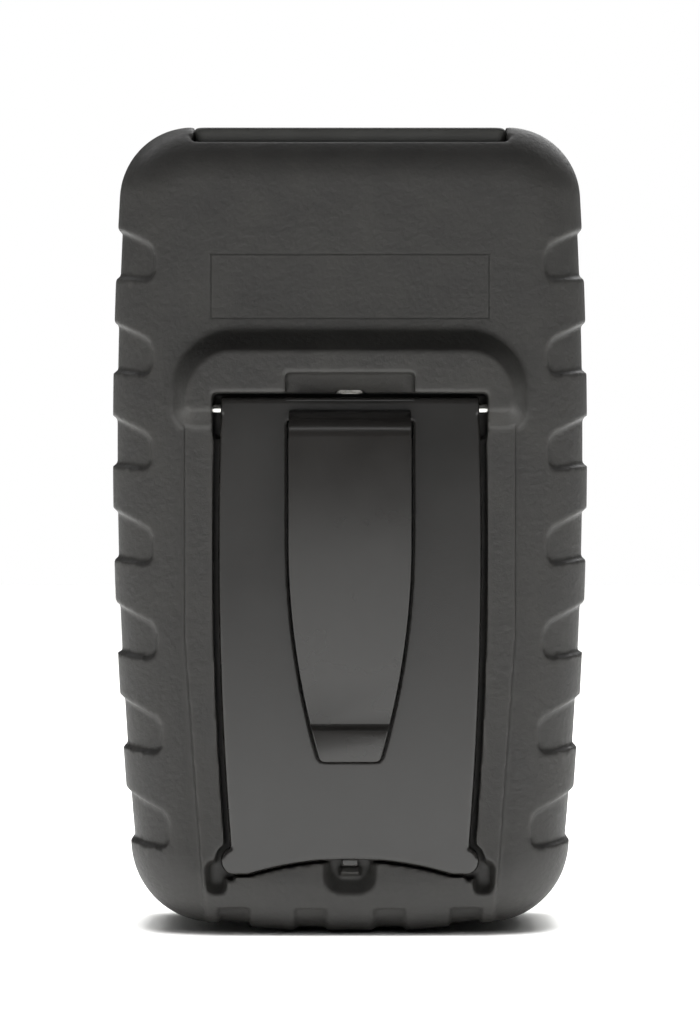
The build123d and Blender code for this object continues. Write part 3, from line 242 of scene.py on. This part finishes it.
def metalSurface(name, look):
    # fine drawn or tumbled lines in the gloss, and a few duller patches
    material, shader, place = newMaterial(name, Metallic=1.0)
    stretched = addNode(material, "ShaderNodeMapping", {"Scale": look["stretch"]},
                        {"Vector": place}).outputs[0]
    lines = noise(material, stretched, look["line"], 4.0, 0.6)
    patches = noise(material, place, look["patch"], 2.0)
    link(material, blendColour(material, spread(material, patches, 0.0, 1.0), look["dark"], look["light"]),
         shader, "Base Color")
    gloss = sum2(material, patches, lines, 1.0)
    link(material, spread(material, gloss, *look["rough"], *twoNoises), shader, "Roughness")
    bump(material, shader, lines, look["depth"])
    return material


# stainless pins, ground: bright, with tight lines round them
pinSteel = metalSurface("stainlessSteelGround", {
    "dark": "#c9c8c5", "light": "#e2e1de", "patch": 2.0, "line": 0.12, "stretch": (4.0, 1.0, 1.0),
    "depth": 0.002, "rough": (0.16, 0.26)})

# spring steel leaf, rolled: darker, with lines along the leaf
springSteel = metalSurface("springSteelRolled", {
    "dark": "#8d8b87", "light": "#a9a7a3", "patch": 1.5, "line": 0.15, "stretch": (1.0, 0.2, 1.0),
    "depth": 0.003, "rough": (0.24, 0.36)})

# screws, zinc plated: pale and slightly cloudy
screwSteel = metalSurface("steelZincPlated", {
    "dark": "#a3a3a2", "light": "#bdbdbb", "patch": 1.0, "line": 0.1, "stretch": (1.0, 1.0, 1.0),
    "depth": 0.002, "rough": (0.25, 0.4)})

# drawn motor can, nickel plated
motorSteel = metalSurface("steelDrawnNickel", {
    "dark": "#b1aea6", "light": "#c8c5bc", "patch": 3.0, "line": 0.12, "stretch": (0.15, 1.0, 1.0),
    "depth": 0.002, "rough": (0.2, 0.32)})

# contacts, gold flashed: warm and smooth
contactGold = metalSurface("bronzeGoldFlashed", {
    "dark": "#c79a4b", "light": "#dcb469", "patch": 1.5, "line": 0.1, "stretch": (1.0, 1.0, 1.0),
    "depth": 0.002, "rough": (0.2, 0.3)})

# sintered tungsten weight: dark grey, grainy
weightTungsten = metalSurface("tungstenSintered", {
    "dark": "#6d6c6b", "light": "#85837f", "patch": 0.8, "line": 0.2, "stretch": (1.0, 1.0, 1.0),
    "depth": 0.01, "rough": (0.38, 0.52)})

# sensor cans, deep-drawn aluminium: soft silver with lines along the can
canAluminium = metalSurface("aluminiumDrawn", {
    "dark": "#b9babb", "light": "#d0d1d2", "patch": 4.0, "line": 0.2, "stretch": (1.0, 0.15, 1.0),
    "depth": 0.003, "rough": (0.28, 0.4)})


def glassFibreBoard(look):
    # solder mask over woven glass: the weave shows as a faint grid under the green
    material, shader, place = newMaterial("glassFibreSolderMask", IOR=1.5, Coat_Weight=0.4,
                                          Coat_Roughness=0.15)
    wave = {"Scale": perMm(look["thread"]) / waveRate, "Distortion": 0.4}
    weave = [addNode(material, "ShaderNodeTexWave", wave, {"Vector": place},
                     bands_direction=axis).outputs["Fac"] for axis in ("X", "Z")]
    grid = sum2(material, weave[0], weave[1], 1.0)
    patches = noise(material, place, look["patch"], 2.0)
    shade = sum2(material, patches, grid, 0.12)
    link(material, blendColour(material, spread(material, shade, 0.0, 1.0, *gridRange), look["dark"],
                               look["light"]), shader, "Base Color")
    link(material, spread(material, patches, *look["rough"]), shader, "Roughness")
    bump(material, shader, grid, look["depth"])
    return material


boardGreen = glassFibreBoard({"dark": "#0f3a22", "light": "#1b5230", "thread": 0.6, "patch": 6.0,
                              "depth": 0.01, "rough": (0.3, 0.42)})


def shrinkSleeve(look):
    # PVC sleeve shrunk on the cell: shiny, with long faint creases
    material, shader, place = newMaterial("pvcShrinkSleeve", IOR=1.53)
    tall = addNode(material, "ShaderNodeMapping", {"Scale": (1.0, 1.0, 0.12)}, {"Vector": place}).outputs[0]
    creases = noise(material, tall, look["crease"], 3.0)
    link(material, blendColour(material, spread(material, creases, 0.0, 1.0), look["dark"], look["light"]),
         shader, "Base Color")
    link(material, spread(material, creases, *look["rough"]), shader, "Roughness")
    bump(material, shader, creases, look["depth"])
    return material


cellSleeve = shrinkSleeve({"dark": "#1d4f86", "light": "#2a639f", "crease": 2.2, "depth": 0.05,
                           "rough": (0.2, 0.32)})


def stretchedMembrane(look):
    # expanded PTFE: chalk white, fibrous, light passes into it
    material, shader, place = newMaterial("ptfeMembraneStretched", IOR=1.35, Subsurface_Weight=0.2,
                                          Subsurface_Scale=0.0006)
    fibres = noise(material, place, look["fibre"], 6.0, 0.7)
    link(material, blendColour(material, spread(material, fibres, 0.0, 1.0), look["dark"], look["light"]),
         shader, "Base Color")
    link(material, spread(material, fibres, *look["rough"]), shader, "Roughness")
    bump(material, shader, fibres, look["depth"])
    return material


filterPtfe = stretchedMembrane({"dark": "#d9d8d2", "light": "#eeede8", "fibre": 0.35, "depth": 0.03,
                                "rough": (0.7, 0.85)})


def clearMoulding(name, look):
    # clear polycarbonate: the polish is broken by faint flow waves and rubbing
    material, shader, place = newMaterial(name, IOR=1.58, Transmission_Weight=look["clear"])
    waves = noise(material, place, look["wave"], 2.0)
    rubs = noise(material, place, look["rub"], 5.0, 0.7)
    link(material, blendColour(material, spread(material, waves, 0.0, 1.0), look["dark"], look["light"]),
         shader, "Base Color")
    link(material, spread(material, rubs, *look["rough"]), shader, "Roughness")
    bump(material, shader, waves, look["depth"])
    return material


# display window, hard coated: clear and glossy
windowClear = clearMoulding("polycarbonateHardCoated", {
    "clear": 1.0, "dark": "#f2f4f3", "light": "#ffffff", "wave": 20.0, "rub": 1.2, "depth": 0.004,
    "rough": (0.02, 0.06)})

# alarm lens, dyed and frosted inside: red, with a satin glow
alarmRed = clearMoulding("polycarbonateDyedFrosted", {
    "clear": 0.55, "dark": "#8f1512", "light": "#b3211b", "wave": 6.0, "rub": 0.5, "depth": 0.02,
    "rough": (0.22, 0.34)})


def liquidCrystal(look):
    # reflective cell: grey-green, with the cell grid just showing
    material, shader, place = newMaterial("liquidCrystalReflective", IOR=1.5)
    wave = {"Scale": perMm(look["cell"]) / waveRate}
    cells = [addNode(material, "ShaderNodeTexWave", wave, {"Vector": place},
                     bands_direction=axis).outputs["Fac"] for axis in ("X", "Z")]
    grid = sum2(material, cells[0], cells[1], 1.0)
    clouds = noise(material, place, look["cloud"], 2.0)
    shade = sum2(material, clouds, grid, 0.1)
    link(material, blendColour(material, spread(material, shade, 0.0, 1.0, *gridRange), look["dark"],
                               look["light"]), shader, "Base Color")
    link(material, spread(material, clouds, *look["rough"]), shader, "Roughness")
    bump(material, shader, grid, look["depth"])
    return material


displayGlass = liquidCrystal({"dark": "#8d978a", "light": "#9da798", "cell": 0.5, "cloud": 18.0,
                              "depth": 0.002, "rough": (0.16, 0.24)})

# printing on the inside of the window and the display's dark segments: dense screen ink
blackInk = mouldedSurface("screenInkBlack", {
    "dark": "#0d0e0f", "light": "#141516", "edge": "#1b1c1d", "wearAndHighlightShare": 0.2, "ior": 1.5,
    "patch": 4.0, "grain": 0.3, "pits": 0.3, "depth": 0.002, "rough": (0.3, 0.42)})

# key legends: opaque white ink, a little uneven
whiteInk = mouldedSurface("screenInkWhite", {
    "dark": "#d5d6d4", "light": "#e6e7e5", "edge": "#f0f0ee", "wearAndHighlightShare": 0.2, "ior": 1.5,
    "patch": 2.0, "grain": 0.3, "pits": 0.4, "depth": 0.004, "rough": (0.4, 0.52)})

print("materials made:", len(bpy.data.materials))


# CAD nodes keep their shape and get their finish

finishes = {
    housingAbs: ["rear_housing", "battery_door", "battery_tray"],
    bezelAbs: ["front_housing"],
    capAbs: ["top_cap", "port_cover", "charge_block"],
    coverAbs: ["sensor_cover"],
    keySilicone: ["up_key", "enter_key", "down_key", "power_key", "key_mat"],
    sealNitrile: ["housing_gasket", "battery_door_seal"],
    pinSteel: ["hinge_pins", "motor_shaft", "port_cover_pin"],
    springSteel: ["stand_detent"],
    screwSteel: ["housing_screws", "battery_door_screws", "main_board_screws", "sensor_cover_screws",
                 "top_cap_screws"],
    motorSteel: ["vibration_motor", "sounder"],
    contactGold: ["battery_contacts_base", "battery_contacts_top", "charge_pads"],
    weightTungsten: ["motor_weight"],
    canAluminium: ["gas_sensor_1", "gas_sensor_2", "gas_sensor_3", "gas_sensor_4"],
    boardGreen: ["main_board", "sensor_board", "alarm_board"],
    cellSleeve: ["battery_cell_1", "battery_cell_2"],
    filterPtfe: ["sensor_filter_1", "sensor_filter_2", "sensor_filter_3", "sensor_filter_4"],
    windowClear: ["display_lens"],
    alarmRed: ["alarm_lens"],
    displayGlass: ["display_module"],
    bootRubber: ["boot"],
    standAbs: ["stand"],
    clipAcetal: ["belt_clip"],
}


def finish(piece, material):
    piece.data.materials.clear()
    piece.data.materials.append(material)


for material, names in finishes.items():
    for name in names:
        finish(nodes[name], material)


# mouldings with rounded edges

def newPiece(name, data, material, body):
    piece = bpy.data.objects.new(name, data)
    scene.collection.objects.link(piece)
    finish(piece, material)
    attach(piece, body)
    return piece


def applyModifiers(piece):
    made = bpy.data.meshes.new_from_object(piece.evaluated_get(bpy.context.evaluated_depsgraph_get()))
    old = piece.data
    piece.modifiers.clear()
    piece.data = made
    bpy.data.meshes.remove(old)


def addBlock(mesh, low, high):
    # a plain block joined to a mesh before it is remeshed
    made = bmesh.new()
    made.from_mesh(mesh)
    size = Vector(high) - Vector(low)
    middle = (Vector(high) + Vector(low)) / 2
    place = Matrix.Translation(middle) @ Matrix.Diagonal((*size, 1.0))
    bmesh.ops.create_cube(made, size=1.0, matrix=place)
    made.to_mesh(mesh)
    made.free()


def roundedMoulding(node, name, material, look, blocks=()):
    mesh = bpy.data.meshes.new(name)
    source = bmesh.new()
    source.from_mesh(nodes[node].data)
    bmesh.ops.remove_doubles(source, verts=source.verts, dist=weldDistance)
    source.to_mesh(mesh)
    source.free()
    for low, high in blocks:
        addBlock(mesh, low, high)
    piece = newPiece(name, mesh, material, nodes[node]["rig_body"])
    remesh = piece.modifiers.new("remesh", "REMESH")
    remesh.mode = "VOXEL"
    remesh.voxel_size = look["voxel"] * mm
    remesh.use_smooth_shade = True
    smooth = piece.modifiers.new("smooth", "SMOOTH")
    smooth.factor = 0.5
    smooth.iterations = look["passes"]
    applyModifiers(piece)
    faces = 2 * len(piece.data.polygons)
    if faces > look["faces"]:
        thin = piece.modifiers.new("thin", "DECIMATE")
        thin.ratio = look["faces"] / faces
        applyModifiers(piece)
    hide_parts(node)
    print("rounded", name, faces, "to", len(piece.data.polygons))
    return piece


def bevelledMoulding(node, name, material, look):
    # for a piece with large flat faces: they stay truly flat and only the edges are rounded
    mesh = bpy.data.meshes.new(name)
    source = bmesh.new()
    source.from_mesh(nodes[node].data)
    bmesh.ops.remove_doubles(source, verts=source.verts, dist=weldDistance)
    bmesh.ops.dissolve_limit(source, angle_limit=math.radians(look["flat"]), verts=source.verts,
                             edges=source.edges)
    source.to_mesh(mesh)
    source.free()
    piece = newPiece(name, mesh, material, nodes[node]["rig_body"])
    bevel = piece.modifiers.new("bevel", "BEVEL")
    bevel.width = look["edge"] * mm
    bevel.segments = look["segments"]
    bevel.limit_method = "ANGLE"
    bevel.angle_limit = math.radians(look["corner"])
    applyModifiers(piece)
    piece.data.shade_smooth()
    piece.data.set_sharp_from_angle(angle=math.radians(look["sharp"]))
    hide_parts(node)
    print("bevelled", name, len(piece.data.polygons))
    return piece


def cutLabelLine(piece, look):
    # the thin moulded line round the label's place, finer than the remesh would keep
    made = bmesh.new()
    rings = []
    for y in (look["face"] - look["depth"], look["face"] + look["depth"]):
        for grow in (0, -look["line"]):
            halfX, halfZ = look["half"] + grow, look["height"] / 2 + grow
            rings.append([made.verts.new((x * halfX * mm, y * mm, (look["z"] + z * halfZ) * mm))
                          for x, z in ((-1, -1), (1, -1), (1, 1), (-1, 1))])
    lowOuter, lowInner, highOuter, highInner = rings
    for i in range(4):
        j = (i + 1) % 4
        for a, b in ((lowOuter, lowInner), (lowInner, highInner), (highInner, highOuter),
                     (highOuter, lowOuter)):
            made.faces.new((a[i], a[j], b[j], b[i]))
    bmesh.ops.recalc_face_normals(made, faces=made.faces)
    mesh = bpy.data.meshes.new("labelLine")
    made.to_mesh(mesh)
    made.free()
    cutter = bpy.data.objects.new("labelLine", mesh)
    scene.collection.objects.link(cutter)
    cut = piece.modifiers.new("labelLine", "BOOLEAN")
    cut.operation = "DIFFERENCE"
    cut.solver = "EXACT"
    cut.object = cutter
    applyModifiers(piece)
    bpy.data.objects.remove(cutter)
    piece.data.set_sharp_from_angle(angle=math.radians(look["sharp"]))
    print("label line cut, faces:", len(piece.data.polygons))


# all in mm: the label's place on the boot's back, and the block that fills its groove before the remesh
labelFrame = {"half": 28.3, "height": 13.3, "z": 131.6, "line": 0.4, "depth": 0.3, "face": 20.0,
              "margin": 1.4, "fill": 1.2, "sharp": 50}
fillX = (labelFrame["half"] + labelFrame["margin"]) * mm
fillZ = (labelFrame["height"] / 2 + labelFrame["margin"]) * mm
fillY = (labelFrame["face"] - labelFrame["fill"]) * mm

boot = roundedMoulding("boot", "boot_shell", bootRubber,
                       {"voxel": 0.45, "passes": 3, "faces": 180000},
                       [((-fillX, fillY, labelFrame["z"] * mm - fillZ),
                         (fillX, labelFrame["face"] * mm, labelFrame["z"] * mm + fillZ))])
cutLabelLine(boot, labelFrame)
roundedMoulding("stand", "stand_plate", standAbs,
                {"voxel": 0.25, "passes": 3, "faces": 120000})
bevelledMoulding("belt_clip", "clip_tongue", clipAcetal,
                 {"edge": 0.3, "segments": 3, "flat": 0.5, "corner": 25, "sharp": 45})
roundedMoulding("top_cap", "cap_shell", capAbs,
                {"voxel": 0.3, "passes": 2, "faces": 70000})


# thin printed and etched shapes on the display side

def addPrint(name, outlines, face, depth, material, node):
    # closed flat outlines given as (x, z) in mm, raised toward the display side
    made = bmesh.new()
    for outline in outlines:
        back = [made.verts.new((x * mm, face * mm, z * mm)) for x, z in outline]
        front = [made.verts.new((x * mm, (face - depth) * mm, z * mm)) for x, z in outline]
        made.faces.new(back)
        made.faces.new(list(reversed(front)))
        for i in range(len(outline)):
            j = (i + 1) % len(outline)
            made.faces.new((back[i], front[i], front[j], back[j]))
    bmesh.ops.recalc_face_normals(made, faces=made.faces)
    mesh = bpy.data.meshes.new(name)
    made.to_mesh(mesh)
    made.free()
    return newPiece(name, mesh, material, nodes[node]["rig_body"])


def rectangle(lowX, lowZ, highX, highZ):
    return [(lowX, lowZ), (highX, lowZ), (highX, highZ), (lowX, highZ)]


windowMask = {"half": 30.4, "low": 82.6, "high": 121.4, "viewHalf": 25.5, "viewLow": 87.0,
              "viewHigh": 117.5, "face": -22.4, "depth": 0.12}


def maskBars(look):
    return [rectangle(-look["half"], look["low"], look["half"], look["viewLow"]),
            rectangle(-look["half"], look["viewHigh"], look["half"], look["high"]),
            rectangle(-look["half"], look["viewLow"], -look["viewHalf"], look["viewHigh"]),
            rectangle(look["viewHalf"], look["viewLow"], look["half"], look["viewHigh"])]


addPrint("window_mask", maskBars(windowMask), windowMask["face"], windowMask["depth"], blackInk,
         "display_lens")

# seven-segment readings, one for each gas, divided by hairlines
digitLook = {"width": 4.4, "height": 8.6, "bar": 0.95, "gap": 0.16, "step": 6.0, "point": 1.1,
             "pointGap": 0.8}
segments = {"0": "abcdef", "2": "abged", "9": "abcdfg"}


def digitOutlines(sign, x, z, look):
    wide, high, bar, gap = look["width"], look["height"], look["bar"], look["gap"]
    middle = high / 2
    places = {"a": (bar + gap, high - bar, wide - bar - gap, high),
              "g": (bar + gap, middle - bar / 2, wide - bar - gap, middle + bar / 2),
              "d": (bar + gap, 0, wide - bar - gap, bar),
              "f": (0, middle + gap, bar, high - gap), "e": (0, gap, bar, middle - gap),
              "b": (wide - bar, middle + gap, wide, high - gap), "c": (wide - bar, gap, wide, middle - gap)}
    return [rectangle(*(value + offset for value, offset in zip(places[part], (x, z, x, z))))
            for part in segments[sign]]


def readingOutlines(signs, right, z, look):
    outlines, x = [], right
    for sign in reversed(signs):
        if sign == ".":
            point = look["point"]
            outlines.append(rectangle(x + look["width"] - point, z, x + look["width"], z + point))
            x -= look["point"] + look["pointGap"]
        else:
            outlines += digitOutlines(sign, x, z, look)
            x -= look["step"]
    return outlines


readings = {"signs": ("20.9", "0", "0", "0"), "rights": (-7.6, 17.6), "rows": (104.5, 90.0),
            "hairline": 0.3, "inset": 1.0, "face": -20.2, "depth": 0.06}
shapes = []
for i, signs in enumerate(readings["signs"]):
    shapes += readingOutlines(signs, readings["rights"][i % 2], readings["rows"][i // 2], digitLook)
half, inset = readings["hairline"] / 2, readings["inset"]
middleZ = (windowMask["viewLow"] + windowMask["viewHigh"]) / 2
shapes.append(rectangle(-half, windowMask["viewLow"] + inset, half, windowMask["viewHigh"] - inset))
shapes.append(rectangle(-windowMask["viewHalf"] + inset, middleZ - half, -half, middleZ + half))
shapes.append(rectangle(half, middleZ - half, windowMask["viewHalf"] - inset, middleZ + half))
addPrint("display_readings", shapes, readings["face"], readings["depth"], blackInk, "display_module")


def arcBand(x, z, radius, width, start, end, steps):
    turns = [math.radians(start + (end - start) * i / steps) for i in range(steps + 1)]
    outer = [(x + (radius + width / 2) * math.cos(t), z + (radius + width / 2) * math.sin(t)) for t in turns]
    inner = [(x + (radius - width / 2) * math.cos(t), z + (radius - width / 2) * math.sin(t)) for t in turns]
    return outer + inner[::-1]


# legends printed on the keys' faces
legend = {"row": 63.0, "pitch": 20.0, "arrow": 1.7, "line": 0.5, "power": 41.5, "ring": 2.3, "steps": 24,
          "face": -24.8, "depth": 0.06, "reach": 1.4, "head": 0.7, "arc": (125, 415), "barFoot": 0.3,
          "barOver": 0.6}
size, row, line = legend["arrow"], legend["row"], legend["line"]
reach, head, power = size * legend["reach"], size * legend["head"], legend["power"]
legends = {
    "up_key": [[(-legend["pitch"] - size, row - size), (-legend["pitch"] + size, row - size),
                (-legend["pitch"], row + size)]],
    "down_key": [[(legend["pitch"] - size, row + size), (legend["pitch"], row - size),
                  (legend["pitch"] + size, row + size)]],
    "enter_key": [rectangle(-size / 2, row - line / 2, reach, row + line / 2),
                  rectangle(reach - line, row + line / 2, reach, row + size),
                  [(-reach, row), (-size / 2, row - head), (-size / 2, row + head)]],
    "power_key": [arcBand(0, power, legend["ring"], line, *legend["arc"], legend["steps"]),
                  rectangle(-line / 2, power + legend["barFoot"], line / 2,
                            power + legend["ring"] + legend["barOver"])],
}
for key, outlines in legends.items():
    addPrint(key + "_legend", outlines, legend["face"], legend["depth"], whiteInk, key)
print("display side printed")


# floor and light

studio = {
    "floorSize": 6.0, "floorLight": 3.9, "floorLightAngle": 60,
    "poolSize": 0.5, "poolHeight": 1.0, "rearPool": 13.0, "frontPool": 3.0, "poolPlace": 0.42,
    "skyHigh": 0.03, "skyLow": 0.08, "skyFade": 0.3,
}

# soft boxes: where they stand, how large they are and how strong
softBoxes = {
    "highStrip": {"power": 1.2, "place": (0.0, 0.80, 0.72), "size": (1.2, 0.12)},
    "leftSide": {"power": 0.3, "place": (0.8, 0.15, 0.35), "size": (0.2, 0.7)},
    "rightSide": {"power": 0.15, "place": (-0.8, 0.15, 0.35), "size": (0.2, 0.7)},
    "ceiling": {"power": 5.0, "place": (0.0, -0.35, 0.85), "size": (1.6, 0.35)},
    "displaySide": {"power": 5.0, "place": (-0.35, -0.95, 0.75), "size": (0.8, 0.5)},
}


def makeFloor(look):
    half = look["floorSize"] / 2
    mesh = bpy.data.meshes.new("floor")
    corners = [(-half, -half, 0), (half, -half, 0), (half, half, 0), (-half, half, 0)]
    mesh.from_pydata(corners, [], [(0, 1, 2, 3)])
    floor = bpy.data.objects.new("floor", mesh)
    scene.collection.objects.link(floor)
    material, shader, place = newMaterial("paperMatt", Roughness=0.9)
    shade = noise(material, place, 40.0, 2.0)
    link(material, blendColour(material, shade, "#efefed", "#f4f4f2"), shader, "Base Color")
    finish(floor, material)
    return floor


def makeSky(look):
    # white behind the object, dim on it: darker overhead than at eye level
    world = bpy.data.worlds.new("studio")
    world.use_nodes = True
    tree = world.node_tree
    up = tree.nodes.new("ShaderNodeSeparateXYZ")
    tree.links.new(tree.nodes.new("ShaderNodeTexCoord").outputs["Generated"], up.inputs["Vector"])
    level = tree.nodes.new("ShaderNodeMapRange")
    level.inputs["From Max"].default_value = look["skyFade"]
    level.inputs["To Min"].default_value = look["skyLow"]
    level.inputs["To Max"].default_value = look["skyHigh"]
    tree.links.new(up.outputs["Z"], level.inputs["Value"])
    choice = tree.nodes.new("ShaderNodeMix")
    choice.inputs[3].default_value = 1.0
    tree.links.new(tree.nodes.new("ShaderNodeLightPath").outputs["Is Camera Ray"], choice.inputs[0])
    tree.links.new(level.outputs["Result"], choice.inputs[2])
    tree.links.new(choice.outputs[0], tree.nodes["Background"].inputs["Strength"])
    tree.nodes["Background"].inputs["Color"].default_value = (1, 1, 1, 1)
    scene.world = world


def addLamp(name, kind, power, place, target):
    data = bpy.data.lights.new(name, kind)
    data.energy = power
    lamp = bpy.data.objects.new(name, data)
    lamp.location = place
    lamp.rotation_euler = (Vector(target) - Vector(place)).to_track_quat("-Z", "Y").to_euler()
    scene.collection.objects.link(lamp)
    return lamp


def lightFloor(floor, look):
    # these light only the floor: it stays white, glows up at the object, and leaves its top dark
    receivers = bpy.data.collections.new("floorOnly")
    receivers.objects.link(floor)
    wash = addLamp("floorLight", "SUN", look["floorLight"], (0, 0, 1), (0, 0, 0))
    wash.data.angle = math.radians(look["floorLightAngle"])
    wash.light_linking.receiver_collection = receivers
    for name, side in (("rearPool", 1), ("frontPool", -1)):
        y = side * look["poolPlace"]
        pool = addLamp(name, "AREA", look[name], (0, y, look["poolHeight"]), (0, y, 0))
        pool.data.size = look["poolSize"]
        pool.light_linking.receiver_collection = receivers


def makeSoftBoxes(boxes):
    middle = (cadBox[0] + cadBox[1]) / 2
    for name, look in boxes.items():
        lamp = addLamp(name, "AREA", look["power"], look["place"], middle)
        lamp.data.shape = "RECTANGLE"
        lamp.data.size, lamp.data.size_y = look["size"]


makeSky(studio)
lightFloor(makeFloor(studio), studio)
makeSoftBoxes(softBoxes)
scene.view_settings.view_transform = "Standard"
print("studio set")
